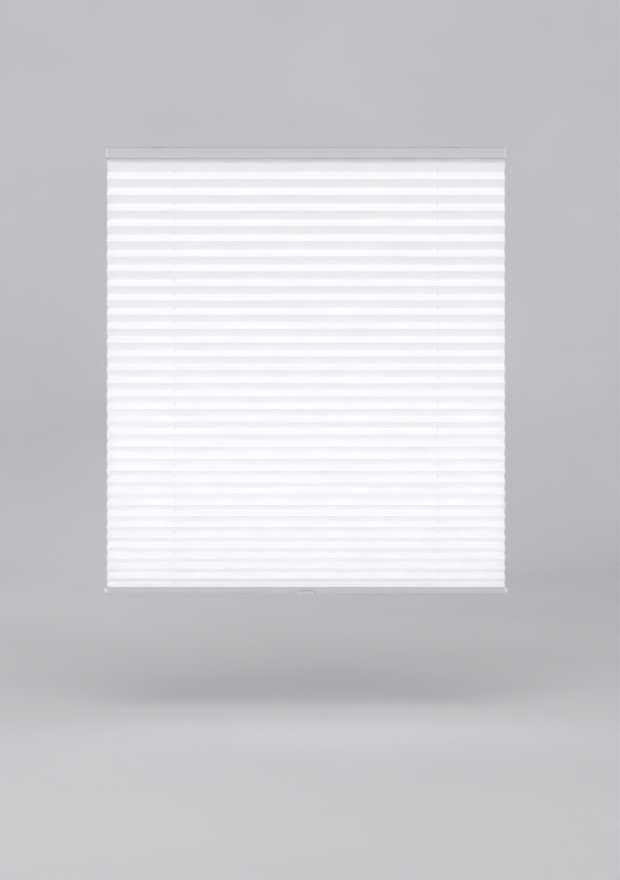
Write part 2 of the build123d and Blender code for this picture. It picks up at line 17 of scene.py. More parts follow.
import bmesh
import bpy
import numpy as np
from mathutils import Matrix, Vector


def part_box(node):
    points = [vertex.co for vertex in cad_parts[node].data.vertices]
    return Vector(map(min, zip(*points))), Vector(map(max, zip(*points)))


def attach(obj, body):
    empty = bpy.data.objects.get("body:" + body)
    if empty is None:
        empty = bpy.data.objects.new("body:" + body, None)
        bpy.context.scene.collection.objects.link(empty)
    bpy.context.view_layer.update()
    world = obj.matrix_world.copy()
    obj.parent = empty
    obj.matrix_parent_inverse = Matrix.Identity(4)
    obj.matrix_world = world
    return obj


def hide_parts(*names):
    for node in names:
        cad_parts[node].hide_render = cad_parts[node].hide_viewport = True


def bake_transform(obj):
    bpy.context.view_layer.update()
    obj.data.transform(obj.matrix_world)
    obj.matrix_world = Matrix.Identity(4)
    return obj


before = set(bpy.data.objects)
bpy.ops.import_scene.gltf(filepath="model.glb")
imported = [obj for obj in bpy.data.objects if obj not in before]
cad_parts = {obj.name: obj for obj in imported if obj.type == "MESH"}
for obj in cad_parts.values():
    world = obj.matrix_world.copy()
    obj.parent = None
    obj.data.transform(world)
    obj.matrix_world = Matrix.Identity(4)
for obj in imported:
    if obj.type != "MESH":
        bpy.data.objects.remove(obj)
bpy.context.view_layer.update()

log = logging.getLogger("pleated_blind")

Colour = tuple[float, float, float, float]
Socket = bpy.types.NodeSocket
Thing = bpy.types.Object
Tree = bpy.types.NodeTree

MERGE_DISTANCE = 1e-6


class Side(Enum):
    """The half of the blind that a piece belongs to, as seen from the room."""

    LEFT = -1
    RIGHT = 1

    @property
    def word(self) -> str:
        """The side as the nodes' names spell it."""
        return self.name.lower()


class Lay(Enum):
    """Which way the fine lines of a metal run."""

    ALONG_X = (0.004, 1.0, 1.0)
    ALONG_Z = (1.0, 1.0, 0.01)
    EVEN = (1.0, 1.0, 1.0)


# ---------------------------------------------------------------------------- the bench
def clear_selection() -> None:
    """Leave nothing selected, so that an operator acts on nothing by accident."""
    bpy.ops.object.select_all(action="DESELECT")


def pick(*objects: Thing) -> Thing:
    """Select these objects alone and make the first one active.

    Args:
        objects: The objects to select.

    Returns:
        The first of them.
    """
    clear_selection()
    for thing in objects:
        thing.select_set(True)
    bpy.context.view_layer.objects.active = objects[0]
    return objects[0]


def newly_added(name: str) -> Thing:
    """Name the primitive that an operator has just added.

    Args:
        name: The piece's name.

    Returns:
        The new object.
    """
    made = bpy.context.active_object
    made.name = name
    made.data.name = name
    return made


def settle(thing: Thing) -> Thing:
    """Put an object's place, turn and scale into its mesh.

    Args:
        thing: The object.

    Returns:
        The same object, at the origin.
    """
    pick(thing)
    bpy.ops.object.transform_apply(location=True, rotation=True, scale=True)
    return thing


def finish_with(thing: Thing, kind: str, **settings: object) -> None:
    """Add a modifier to an object and apply it.

    Args:
        thing: The object.
        kind: The modifier's type.
        settings: The modifier's properties.
    """
    pick(thing)
    modifier = thing.modifiers.new(kind.title(), kind)
    for key, value in settings.items():
        setattr(modifier, key, value)
    bpy.ops.object.modifier_apply(modifier=modifier.name)


@contextmanager
def editing(thing: Thing) -> Iterator[None]:
    """Edit an object's mesh, with all of it selected at the start.

    Args:
        thing: The object.
    """
    pick(thing)
    bpy.ops.object.mode_set(mode="EDIT")
    bpy.ops.mesh.select_all(action="SELECT")
    yield
    bpy.ops.object.mode_set(mode="OBJECT")


def smooth(thing: Thing, degrees: float) -> None:
    """Shade an object smooth, apart from edges sharper than an angle in degrees."""
    pick(thing)
    bpy.ops.object.shade_smooth_by_angle(angle=math.radians(degrees))


def placed(name: str, data: bpy.types.ID) -> Thing:
    """Make an object of some data and put it in the scene.

    Args:
        name: The object's name.
        data: Its mesh, curve, lamp or camera.

    Returns:
        The new object.
    """
    made = bpy.data.objects.new(name, data)
    bpy.context.scene.collection.objects.link(made)
    return made


def placed_mesh(name: str, mesh: bmesh.types.BMesh) -> Thing:
    """Make an object of a worked mesh, which is freed.

    Args:
        name: The piece's name.
        mesh: The worked mesh.

    Returns:
        The new object.
    """
    data = bpy.data.meshes.new(name)
    mesh.to_mesh(data)
    mesh.free()
    return placed(name, data)


def middle_of(node: str) -> Vector:
    """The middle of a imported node's box."""
    low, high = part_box(node)
    return (low + high) / 2


def toned(colour: Colour, factor: float) -> Colour:
    """A colour made paler or darker, and no brighter than white."""
    return tuple(min(1.0, part * factor) for part in colour[:3]) + (1.0,)


# ---------------------------------------------------------------------------- wiring
@dataclass
class Wiring:
    """A node tree, with a short call for each kind of node that the finishes use.

    Attributes:
        tree: The tree that the nodes go into.
    """

    tree: Tree

    def put(self, value: object, socket: Socket) -> None:
        """Link a socket to another, or set its value.

        Args:
            value: An output socket, or a plain value.
            socket: The input that takes it.
        """
        if isinstance(value, Socket):
            self.tree.links.new(value, socket)
        else:
            socket.default_value = value

    def node(self, kind: str, inputs: dict | None = None, **settings: object) -> bpy.types.Node:
        """Add a node.

        Args:
            kind: Its type, without the leading ShaderNode.
            inputs: Values or sockets for its inputs, by name or number.
            settings: Its properties.

        Returns:
            The node.
        """
        made = self.tree.nodes.new("ShaderNode" + kind)
        for key, value in settings.items():
            setattr(made, key, value)
        for key, value in (inputs or {}).items():
            self.put(value, made.inputs[key])
        return made

    def math(self, operation: str, first: object, second: object = 0.0) -> Socket:
        """Work out one sum with a Math node."""
        return self.node("Math", {0: first, 1: second}, operation=operation).outputs[0]

    def ranged(self, value: object, taken: Sequence[float], given: Sequence[float]) -> Socket:
        """Lead the range that is taken over to the range that is given, and stop at its ends.

        Args:
            value: The value or socket.
            taken: The ends of the range that the value comes in.
            given: What those two ends become.

        Returns:
            The result's socket.
        """
        inputs = {"Value": value, "From Min": taken[0], "From Max": taken[1]}
        inputs.update({"To Min": given[0], "To Max": given[1]})
        return self.node("MapRange", inputs, clamp=True).outputs[0]

    def clamped(self, value: object, low: float, high: float) -> Socket:
        """Spread a value's range from low to high over 0 to 1, and stop it there."""
        return self.ranged(value, (low, high), (0.0, 1.0))

    def spread(self, value: object, low: float, high: float) -> Socket:
        """Turn a mask from 0 to 1 into a value from low to high."""
        return self.ranged(value, (0.0, 1.0), (low, high))

    def mixed(self, share: object, first: object, second: object) -> Socket:
        """Mix two colours.

        Args:
            share: How much of the second colour there is.
            first: The first colour or socket.
            second: The second one.

        Returns:
            The mixed colour's socket.
        """
        node = self.node("Mix", data_type="RGBA", clamp_factor=True)
        for value, number in ((share, 0), (first, 6), (second, 7)):
            self.put(value, node.inputs[number])
        return node.outputs[2]

    def noise(self, place: Socket, scale: float, detail: float = 2.0, roughness: float = 0.5) -> Socket:
        """A noise pattern from 0 to 1, with its spots to the metre or to a group's own unit."""
        inputs = {"Vector": place, "Scale": scale, "Detail": detail, "Roughness": roughness}
        return self.node("TexNoise", inputs).outputs[0]

    def stretched(self, place: Socket, scale: Sequence[float]) -> Socket:
        """A point scaled by a different number on each axis."""
        return self.node("VectorMath", {0: place, 1: scale}, operation="MULTIPLY").outputs[0]

    def scaled(self, place: Socket, scale: Socket) -> Socket:
        """A point scaled by the same number on each axis."""
        return self.node("VectorMath", {0: place, 3: scale}, operation="SCALE").outputs[0]

    def bump(self, height: Socket, depth: float, strength: float = 1.0) -> Socket:
        """A normal from a height of 0 to 1 and the real depth that this stands for."""
        inputs = {"Height": height, "Distance": depth, "Strength": strength}
        return self.node("Bump", inputs).outputs[0]

    def effect(self, tree: Tree, inputs: dict) -> bpy.types.bpy_prop_collection:
        """Place a shared effect's group in this tree and give the outputs of its node."""
        return self.node("Group", inputs, node_tree=tree).outputs


class EffectBox:
    """The effects that several finishes share, each a node group that is built once."""

    def _start(self, name: str, inputs: dict[str, float | None], outputs: Iterable[str]) -> tuple:
        """Open a new group.

        Args:
            name: The effect's name.
            inputs: Each input's usual value, or None for a point.
            outputs: The names of the values it puts out.

        Returns:
            The wiring, the input node's sockets and the output node's sockets.
        """
        tree = bpy.data.node_groups.new(name, "ShaderNodeTree")
        for key, value in inputs.items():
            kind = "NodeSocketVector" if value is None else "NodeSocketFloat"
            socket = tree.interface.new_socket(key, in_out="INPUT", socket_type=kind)
            if value is not None:
                socket.default_value = value
        for key in outputs:
            tree.interface.new_socket(key, in_out="OUTPUT", socket_type="NodeSocketFloat")
        entry = tree.nodes.new("NodeGroupInput")
        leave = tree.nodes.new("NodeGroupOutput")
        return Wiring(tree), entry.outputs, leave.inputs

    @cache
    def plain_weave(self) -> Tree:
        """Threads that pass over and under each other, with a few thicker ones.

        Returns:
            The group, with Height and Slub.
        """
        inputs = {"Place": None, "Threads": 2400.0}
        w, given, out = self._start("plain weave", inputs, ("Height", "Slub"))
        point = w.scaled(given["Place"], given["Threads"])
        across = w.node("SeparateXYZ", {0: point}).outputs
        withins = [w.math("FRACT", across[number]) for number in (0, 1)]
        heights = [w.math("SINE", w.math("MULTIPLY", within, math.pi)) for within in withins]
        steps = w.math("ADD", w.math("FLOOR", across[0]), w.math("FLOOR", across[1]))
        over = w.math("ABSOLUTE", w.math("MODULO", steps, 2.0))
        warp, weft = (
            w.math("MULTIPLY", own, w.math("ADD", w.math("MULTIPLY", other, 0.4), 0.6))
            for own, other in (heights, heights[::-1])
        )
        taken = w.math("MULTIPLY", weft, over)
        left = w.math("MULTIPLY", warp, w.math("SUBTRACT", 1.0, over))
        w.put(w.math("ADD", taken, left), out["Height"])
        lying = w.noise(w.stretched(given["Place"], (28.0, 2600.0, 1.0)), 1.0)
        standing = w.noise(w.stretched(given["Place"], (2600.0, 40.0, 1.0)), 1.0)
        thick = w.math("MAXIMUM", w.clamped(lying, 0.56, 0.74), w.clamped(standing, 0.60, 0.78))
        w.put(thick, out["Slub"])
        return w.tree

    @cache
    def drawn_lines(self) -> Tree:
        """The fine lines that drawing, rolling or brushing leaves in metal.

        Returns:
            The group, with Lines and Cloud.
        """
        inputs = {"Place": None, "Fineness": 9000.0}
        w, given, out = self._start("drawn lines", inputs, ("Lines", "Cloud"))
        point = w.scaled(given["Place"], given["Fineness"])
        fine = w.noise(point, 1.0, 3.0, 0.6)
        broad = w.noise(point, 0.17)
        lines = w.math("ADD", w.math("MULTIPLY", fine, 0.65), w.math("MULTIPLY", broad, 0.35))
        w.put(lines, out["Lines"])
        w.put(w.noise(point, 0.012, 3.0), out["Cloud"])
        return w.tree

    @cache
    def moulded_grain(self) -> Tree:
        """The fine sparked skin of moulded plastic, and the slow flow of its colour.

        Returns:
            The group, with Grain and Flow.
        """
        inputs = {"Place": None, "Fineness": 5200.0}
        w, given, out = self._start("moulded grain", inputs, ("Grain", "Flow"))
        point = w.scaled(given["Place"], given["Fineness"])
        cells = w.node("TexVoronoi", {"Vector": point, "Scale": 1.0}, feature="SMOOTH_F1").outputs[0]
        fine = w.noise(point, 1.7, 3.0, 0.65)
        grain = w.math("ADD", w.math("MULTIPLY", cells, 0.5), w.math("MULTIPLY", fine, 0.5))
        w.put(grain, out["Grain"])
        w.put(w.clamped(w.noise(point, 0.02, 3.0), 0.3, 0.7), out["Flow"])
        return w.tree

    @cache
    def worn_edges(self) -> Tree:
        """Where outer corners are rubbed: the corners themselves, broken up by a noise.

        Returns:
            The group, with Wear.
        """
        w, given, out = self._start("worn edges", {"Place": None, "Radius": 0.0004}, ("Wear",))
        rounded = w.node("Bevel", {"Radius": given["Radius"]}, samples=4).outputs[0]
        straight = w.node("NewGeometry").outputs["Normal"]
        pair = {0: rounded, 1: straight}
        alike = w.node("VectorMath", pair, operation="DOT_PRODUCT").outputs["Value"]
        corner = w.clamped(w.math("SUBTRACT", 1.0, alike), 0.02, 0.22)
        broken = w.clamped(w.noise(given["Place"], 900.0, 4.0, 0.6), 0.35, 0.65)
        w.put(w.math("MULTIPLY", corner, broken), out["Wear"])
        return w.tree

    @cache
    def braid(self) -> Tree:
        """The strands of a braided cord, from a map that goes round it and along it.

        Returns:
            The group, with Height.
        """
        w, given, out = self._start("braid", {"Place": None, "Picks": 900.0}, ("Height",))
        parts = w.node("SeparateXYZ", {0: given["Place"]}).outputs
        round_it = w.math("MULTIPLY", parts[0], 4.0)
        along = w.math("MULTIPLY", parts[1], given["Picks"])
        leads = [w.math(operation, round_it, along) for operation in ("ADD", "SUBTRACT")]
        waves = [w.math("SINE", w.math("MULTIPLY", lead, math.tau)) for lead in leads]
        w.put(w.math("MAXIMUM", *waves), out["Height"])
        return w.tree


effects = EffectBox()


# ---------------------------------------------------------------------------- finishes
@dataclass(frozen=True)
class Finish:
    """What every finish has: a name and two colours.

    Attributes:
        name: The record's slot that it stands for.
        colour: Its main colour, linear.
        second: The colour that it varies to.
    """

    name: str
    colour: Colour
    second: Colour

    def material(self) -> bpy.types.Material:
        """The finish as a material, made the first time it is asked for.

        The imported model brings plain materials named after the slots, so this one's name
        has an ending of its own.

        Returns:
            The material.
        """
        name = self.name + "_finish"
        made = bpy.data.materials.get(name)
        if made is None:
            made = bpy.data.materials.new(name)
            made.use_nodes = True
            made.diffuse_color = self.colour
            w = Wiring(made.node_tree)
            surface = made.node_tree.nodes["Principled BSDF"]
            for key, value in self.wire(w).items():
                w.put(value, surface.inputs[key])
        return made

    def wire(self, w: Wiring) -> dict[str, object]:
        """Add the finish's own nodes and give the surface's inputs by name."""
        raise NotImplementedError

    def dress(self, *nodes: str) -> None:
        """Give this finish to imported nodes.

        Args:
            nodes: The nodes' names.
        """
        for name in nodes:
            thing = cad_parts[name]
            if not thing.material_slots:
                thing.data.materials.append(self.material())
            for slot in thing.material_slots:
                slot.material = self.material()
            log.info("%s: %s", name, self.name)

    def coat(self, thing: Thing) -> None:
        """Give this finish to a new piece.

        Args:
            thing: The piece.
        """
        thing.data.materials.clear()
        thing.data.materials.append(self.material())


@dataclass(frozen=True)
class Metal(Finish):
    """Bare, plated or anodised metal.

    Attributes:
        lay: The way its lines run.
        fineness: Lines to the metre.
        roughness: The smoothest and roughest it gets.
        depth: How deep the lines are.
        edge: The colour of a rubbed corner.
        edge_radius: How far in from a corner it is rubbed.
    """

    lay: Lay = Lay.EVEN
    fineness: float = 9000.0
    roughness: tuple[float, float] = (0.3, 0.42)
    depth: float = 0.000004
    edge: Colour = (0.86, 0.87, 0.88, 1.0)
    edge_radius: float = 0.0004

    def wire(self, w: Wiring) -> dict[str, object]:
        """Add the lines, clouding and rubbed corners.

        Args:
            w: The material's wiring.

        Returns:
            The surface's inputs, by name.
        """
        place = w.node("TexCoord").outputs["Object"]
        drawn = w.stretched(place, self.lay.value)
        lines = w.effect(effects.drawn_lines(), {"Place": drawn, "Fineness": self.fineness})
        wear = w.effect(effects.worn_edges(), {"Place": place, "Radius": self.edge_radius})[0]
        body = w.mixed(w.clamped(lines["Cloud"], 0.3, 0.7), self.colour, self.second)
        streaked = w.mixed(w.spread(lines["Lines"], 0.0, 0.22), body, self.second)
        return {
            "Base Color": w.mixed(w.math("MULTIPLY", wear, 0.5), streaked, self.edge),
            "Roughness": w.spread(w.clamped(lines["Lines"], 0.3, 0.7), *self.roughness),
            "Metallic": 1.0,
            "Normal": w.bump(lines["Lines"], self.depth),
        }


@dataclass(frozen=True)
class Plastic(Finish):
    """Moulded or extruded plastic.

    Attributes:
        lay: The way its flow lines run.
        fineness: Grains to the metre.
        roughness: The smoothest and roughest it gets.
        depth: How deep the grain is.
        gloss: How much clear gloss lies on it.
        edge_radius: How far in from a corner it is rubbed pale.
    """

    lay: Lay = Lay.EVEN
    fineness: float = 5200.0
    roughness: tuple[float, float] = (0.42, 0.56)
    depth: float = 0.00001
    gloss: float = 0.0
    edge_radius: float = 0.0004

    def wire(self, w: Wiring) -> dict[str, object]:
        """Add the moulded grain, the flow of colour and pale corners.

        Args:
            w: The material's wiring.

        Returns:
            The surface's inputs, by name.
        """
        place = w.node("TexCoord").outputs["Object"]
        flowing = w.stretched(place, self.lay.value)
        skin = w.effect(effects.moulded_grain(), {"Place": flowing, "Fineness": self.fineness})
        wear = w.effect(effects.worn_edges(), {"Place": place, "Radius": self.edge_radius})[0]
        body = w.mixed(skin["Flow"], self.colour, self.second)
        return {
            "Base Color": w.mixed(w.math("MULTIPLY", wear, 0.6), body, toned(self.colour, 1.12)),
            "Roughness": w.spread(skin["Grain"], *self.roughness),
            "Coat Weight": self.gloss,
            "Normal": w.bump(skin["Grain"], self.depth),
        }


@dataclass(frozen=True)
class Cloth(Finish):
    """Stiffened polyester cloth, woven plain, matt and very pale.

    Attributes:
        threads: Threads to the metre.
        depth: How far the threads stand out.
        width: The cloth's width, for its heat-cut edges.
        cut: How wide the cut's darker line is.
    """

    threads: float = 2400.0
    depth: float = 0.00003
    width: float = 0.816
    cut: float = 0.0009

    def wire(self, w: Wiring) -> dict[str, object]:
        """Add the weave, with painted shade in the hollows between its threads, its slubs and the cut
        edges.

        Args:
            w: The material's wiring.

        Returns:
            The surface's inputs, by name.
        """
        flat = w.node("UVMap", uv_map="cloth").outputs[0]
        weave = w.effect(effects.plain_weave(), {"Place": flat, "Threads": self.threads})
        cloud = w.clamped(w.noise(flat, 14.0, 3.0), 0.35, 0.65)
        body = w.mixed(w.math("MULTIPLY", cloud, 0.35), self.colour, self.second)
        slubbed = w.mixed(w.math("MULTIPLY", weave["Slub"], 0.5), body, self.second)
        # Painted shade: the hollows between the threads are mixed towards the darker colour.
        between = w.math("MULTIPLY", w.math("SUBTRACT", 1.0, weave["Height"]), 0.3)
        woven = w.mixed(between, slubbed, self.second)
        along = w.node("SeparateXYZ", {0: flat}).outputs[0]
        half = self.width / 2
        from_middle = w.math("ABSOLUTE", w.math("SUBTRACT", along, half))
        in_from = w.math("SUBTRACT", half, from_middle)
        sealed = w.math("SUBTRACT", 1.0, w.clamped(in_from, 0.0, self.cut))
        return {
            "Base Color": w.mixed(w.math("MULTIPLY", sealed, 0.7), woven, toned(self.second, 0.72)),
            "Roughness": w.spread(weave["Height"], 0.92, 0.8),
            "Subsurface Weight": 0.4,
            "Subsurface Radius": (1.0, 1.0, 1.0),
            "Subsurface Scale": 0.0015,
            "Sheen Weight": 0.12,
            "Sheen Roughness": 0.5,
            "Specular IOR Level": 0.3,
            "Normal": w.bump(weave["Height"], self.depth, 0.7),
        }


@dataclass(frozen=True)
class Fibre(Finish):
    """Braided polyester cord.

    Attributes:
        picks: Crossings to the metre, along the cord.
        depth: How far the strands stand out.
    """

    picks: float = 900.0
    depth: float = 0.00005

    def wire(self, w: Wiring) -> dict[str, object]:
        """Add the braid, with painted shade in the grooves between its strands, and a little soiling.

        Args:
            w: The material's wiring.

        Returns:
            The surface's inputs, by name.
        """
        flat = w.node("UVMap", uv_map="cord").outputs[0]
        height = w.effect(effects.braid(), {"Place": flat, "Picks": self.picks})[0]
        raised = w.clamped(height, -0.4, 1.0)
        soiled = w.clamped(w.noise(w.node("TexCoord").outputs["Object"], 60.0, 4.0), 0.4, 0.7)
        # Painted shade: the grooves between the strands take the darker colour and the crowns the pale
        # one.
        shaded = w.mixed(raised, self.second, self.colour)
        return {
            "Base Color": w.mixed(w.math("MULTIPLY", soiled, 0.25), shaded, toned(self.second, 0.9)),
            "Roughness": w.spread(raised, 0.85, 0.62),
            "Sheen Weight": 0.15,
            "Normal": w.bump(raised, self.depth),
        }


# Its second colour serves the cloth's clouding and slubs, the painted shade between its threads and,
# darker, its cut edges.
PLEAT_CLOTH = Cloth("pleat_cloth", (0.93, 0.93, 0.94, 1.0), (0.88, 0.88, 0.895, 1.0))
RAIL_ALUMINIUM = Metal(
    "rail_aluminium",
    (0.83, 0.84, 0.865, 1.0),
    (0.77, 0.78, 0.81, 1.0),
    lay=Lay.ALONG_X,
    roughness=(0.34, 0.46),
    depth=0.000003,
    edge=(0.88, 0.89, 0.90, 1.0),
)
CAP_PLASTIC = Plastic("cap_plastic", (0.73, 0.735, 0.755, 1.0), (0.68, 0.685, 0.71, 1.0))
GRIP_PLASTIC = Plastic(
    "grip_plastic", (0.48, 0.48, 0.49, 1.0), (0.44, 0.44, 0.45, 1.0), roughness=(0.34, 0.48)
)
BRACKET_STEEL = Metal(
    "bracket_steel",
    (0.62, 0.64, 0.66, 1.0),
    (0.47, 0.49, 0.53, 1.0),
    fineness=1300.0,
    roughness=(0.28, 0.5),
    depth=0.00001,
)
HOUSING_PLASTIC = Plastic(
    "housing_plastic", (0.62, 0.62, 0.63, 1.0), (0.57, 0.57, 0.585, 1.0), fineness=3600.0
)
WHEEL_PLASTIC = Plastic(
    "wheel_plastic",
    (0.80, 0.80, 0.77, 1.0),
    (0.75, 0.75, 0.71, 1.0),
    fineness=2600.0,
    roughness=(0.22, 0.34),
    depth=0.000004,
    gloss=0.15,
    edge_radius=0.0002,
)
STRIP_PLASTIC = Plastic(
    "strip_plastic",
    (0.77, 0.77, 0.77, 1.0),
    (0.72, 0.72, 0.73, 1.0),
    lay=Lay.ALONG_X,
    roughness=(0.2, 0.36),
    depth=0.000006,
    gloss=0.1,
)
FASTENER_STEEL = Metal(
    "fastener_steel",
    (0.66, 0.67, 0.69, 1.0),
    (0.52, 0.54, 0.58, 1.0),
    lay=Lay.ALONG_Z,
    fineness=14000.0,
    roughness=(0.2, 0.34),
    edge_radius=0.00015,
)
SPRING_STEEL = Metal(
    "spring_steel",
    (0.30, 0.33, 0.39, 1.0),
    (0.22, 0.24, 0.30, 1.0),
    fineness=2600.0,
    roughness=(0.16, 0.28),
    edge=(0.55, 0.57, 0.62, 1.0),
    edge_radius=0.0001,
)
# Its second colour is the painted shade in the braid's grooves and, a little darker, the soiling.
CORD_FIBRE = Fibre("cord_fibre", (0.86, 0.86, 0.86, 1.0), (0.62, 0.62, 0.63, 1.0))


# ---------------------------------------------------------------------------- the cloth
@dataclass
class PleatedCloth:
    """The blind's one sheet of cloth, folded to and fro between its two rails.

    Attributes:
        width: The cloth's width.
        full_drop: How far it hangs when the blind is let right down.
        face: The cloth from fold to fold.
        drawn_pitch: One pleat's height at that full drop.
        first_share: How much of a face is left at the head rail.
        last_share: How much of a face is left at the bottom rail.
        evenness: How the pitch evens out as the cloth is drawn out.
        hole_to_fold: From a cord hole to the fold on the glass side.
        thickness: The cloth's thickness.
        flap: The end of the cloth that lies in each rail.
        flap_width: The flaps' width, a little less than the rails' length.
        fold_radius: How tightly a fold is pressed.
        hole_radius: The punched holes that the lift cords pass through.
        step: How far apart the mesh's columns are.
        sway: How far a fold strays from a straight line.
        ragged: How far a cut edge strays.
        slot_gap: The air between a flap and its strip.
        edge_strips: How far in from a cut edge the mesh's narrow strips reach.
        edge_clear: How far from a cut edge its even columns stop.
        cord_clear: How far they keep from the cell round a cord.
    """

    width: float = 0.816
    full_drop: float = 1.117
    face: float = 0.020
    drawn_pitch: float = 0.0338
    first_share: float = 0.55
    last_share: float = 0.8
    evenness: float = 1.27
    hole_to_fold: float = 0.004
    thickness: float = 0.0003
    flap: float = 0.006
    flap_width: float = 0.811
    fold_radius: float = 0.0004
    hole_radius: float = 0.0012
    step: float = 0.03
    sway: float = 0.00022
    ragged: float = 0.0005
    slot_gap: float = 0.00005
    edge_strips: tuple[float, float] = (0.0012, 0.012)
    edge_clear: float = 0.02
    cord_clear: float = 0.004
    top: float = field(default=0.0, init=False)
    bottom: float = field(default=0.0, init=False)
    cord: Vector = field(default_factory=Vector, init=False)

    def __post_init__(self) -> None:
        """Take the cloth's ends and the cords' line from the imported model."""
        self.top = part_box("head_rail")[0].z
        self.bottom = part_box("bottom_rail")[1].z
        self.cord = middle_of("cord_anchor_right")

    @property
    def cell(self) -> float:
        """Half the width of the mesh's cell round a cord hole."""
        return 2.5 * self.hole_radius

    def folds(self) -> list[Vector]:
        """The middle of the cloth from the head rail to the bottom rail, as (0, y, z).

        Returns:
            One point for each fold, and the two ends.
        """
        hang = self.top - self.bottom
        pleats = round(self.full_drop / self.drawn_pitch)
        shares = [self.first_share] + [1.0] * (2 * pleats - 1) + [self.last_share]
        gather = (hang / (self.face * sum(shares))) ** self.evenness
        last = len(shares) - 1
        weights = [1 - (1 - gather) * index / last for index in range(last + 1)]
        unit = hang / sum(share * weight for share, weight in zip(shares, weights))
        slants = [math.sqrt(1 - (weight * unit / self.face) ** 2) for weight in weights]
        points = []
        level = self.top
        for index in range(1, last + 1):
            level -= shares[index - 1] * weights[index - 1] * unit
            slant = (slants[index - 1] + slants[index]) / 2
            reach = self.hole_to_fold - self.face if index % 2 == 1 else self.hole_to_fold
            points.append(Vector((0, self.cord.y + reach * slant, level)))
        start = points[0].y + self.first_share * self.face * slants[0]
        end = points[-1].y - self.last_share * self.face * slants[-1]
        return [Vector((0, start, self.top))] + points + [Vector((0, end, self.bottom))]

    def middle_line(self) -> list[Vector]:
        """The whole middle line, from the flap in one rail to the flap in the other.

        Returns:
            Its points, from the top.
        """
        folds = self.folds()
        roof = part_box("head_fabric_strip")[0].z - self.thickness / 2 - self.slot_gap
        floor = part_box("bottom_fabric_strip")[1].z + self.thickness / 2 + self.slot_gap
        first, last = folds[0], folds[-1]
        head = [Vector((0, first.y - self.flap, roof)), Vector((0, first.y, roof))]
        foot = [Vector((0, last.y, floor)), Vector((0, last.y + self.flap, floor))]
        return head + folds + foot

    def flat_length(self) -> float:
        """How long the cloth is when it lies flat, with both flaps."""
        line = self.middle_line()
        return sum((after - before).length for before, after in zip(line, line[1:]))

    def rounded(self, before: Vector, point: Vector, after: Vector) -> list[Vector]:
        """Round one corner of the middle line.

        Args:
            before: The point before the corner.
            point: The corner.
            after: The point after it.

        Returns:
            The points of the rounding, or the corner alone where the line hardly turns.
        """
        back, on = before - point, after - point
        inside = back.angle(on)
        nearly_straight, most_of_a_run, parts = math.radians(172), 0.4, 4
        if inside > nearly_straight:
            return [point]
        limits = (most_of_a_run * back.length, most_of_a_run * on.length)
        reach = min(self.fold_radius / math.tan(inside / 2), *limits)
        way = (back.normalized() + on.normalized()).normalized()
        centre = point + way * reach / math.cos(inside / 2)
        start = point + back.normalized() * reach - centre
        end = point + on.normalized() * reach - centre
        sweep = math.pi - inside
        points = []
        for part in range(parts + 1):
            angle = sweep * part / parts
            swung = (start * math.sin(sweep - angle) + end * math.sin(angle)) / math.sin(sweep)
            points.append(centre + swung)
        return points

    def rows(self) -> tuple[list[tuple[Vector, float]], list[int]]:
        """The mesh's rows, closer together round each fold and each cord hole.

        Returns:
            For each row its point and its fold number, which is whole at a fold and runs on
            between folds, and the rows that a cord hole follows.
        """
        line = self.middle_line()
        last = len(line) - 1
        rows: list[tuple[Vector, float]] = []
        holes: list[int] = []
        for index, point in enumerate(line):
            ends = index in (0, last)
            corner = [point] if ends else self.rounded(line[index - 1], point, line[index + 1])
            rows += [(place, float(index)) for place in corner]
            if ends or not 2 <= index < last - 2:
                continue
            run = line[index + 1] - point
            marks = {2: [0.05], last - 3: [0.95]}.get(index, [])
            hole = None
            if (point.y - self.cord.y) * (line[index + 1].y - self.cord.y) < 0:
                middle = (self.cord.y - point.y) / run.y
                cell = 2 * self.hole_radius / run.length
                hole = middle - cell
                marks += [hole, middle + cell]
                wide = (0.35, 0.62, 0.9) if middle < 0.5 else (0.1, 0.38, 0.65)
                marks += [mark for mark in wide if abs(mark - middle) > cell + 0.06]
            for mark in sorted(marks):
                if mark == hole:
                    holes.append(len(rows))
                rows.append((point + run * mark, index + mark))
        return rows, holes

    def columns(self) -> list[float]:
        """The mesh's columns, with a cell round each cord and narrow strips at each cut edge.

        Returns:
            The columns' places, from the left.
        """
        half = self.width / 2
        marks = {0.0, half, self.cord.x - self.cell, self.cord.x + self.cell}
        marks.update(half - strip for strip in self.edge_strips)
        place = self.step
        while place < half - self.edge_clear:
            if abs(place - self.cord.x) > self.cell + self.cord_clear:
                marks.add(place)
            place += self.step
        positive = sorted(marks)
        return [-mark for mark in positive[:0:-1]] + positive

    def strays(self, count: int) -> list[tuple[float, ...]]:
        """How each fold strays from its place, the same on every run.

        Args:
            count: The number of corners in the middle line.

        Returns:
            For each corner two phases, a sag, and how ragged its left and right ends are.
        """
        chance = random.Random(31)
        return [
            (
                chance.uniform(0, 6.28),
                chance.uniform(0, 6.28),
                chance.uniform(0.00002, 0.0003),
                chance.uniform(0, self.ragged),
                chance.uniform(0, self.ragged),
            )
            for _ in range(count)
        ]

    def wave(self, x: float, phases: Sequence[float]) -> float:
        """How a fold sways at a column, from -1 to 1: a slow wave and a quicker, weaker one."""
        return math.sin(7.5 * x + phases[0]) * 0.6 + math.sin(19.0 * x + phases[1]) * 0.4

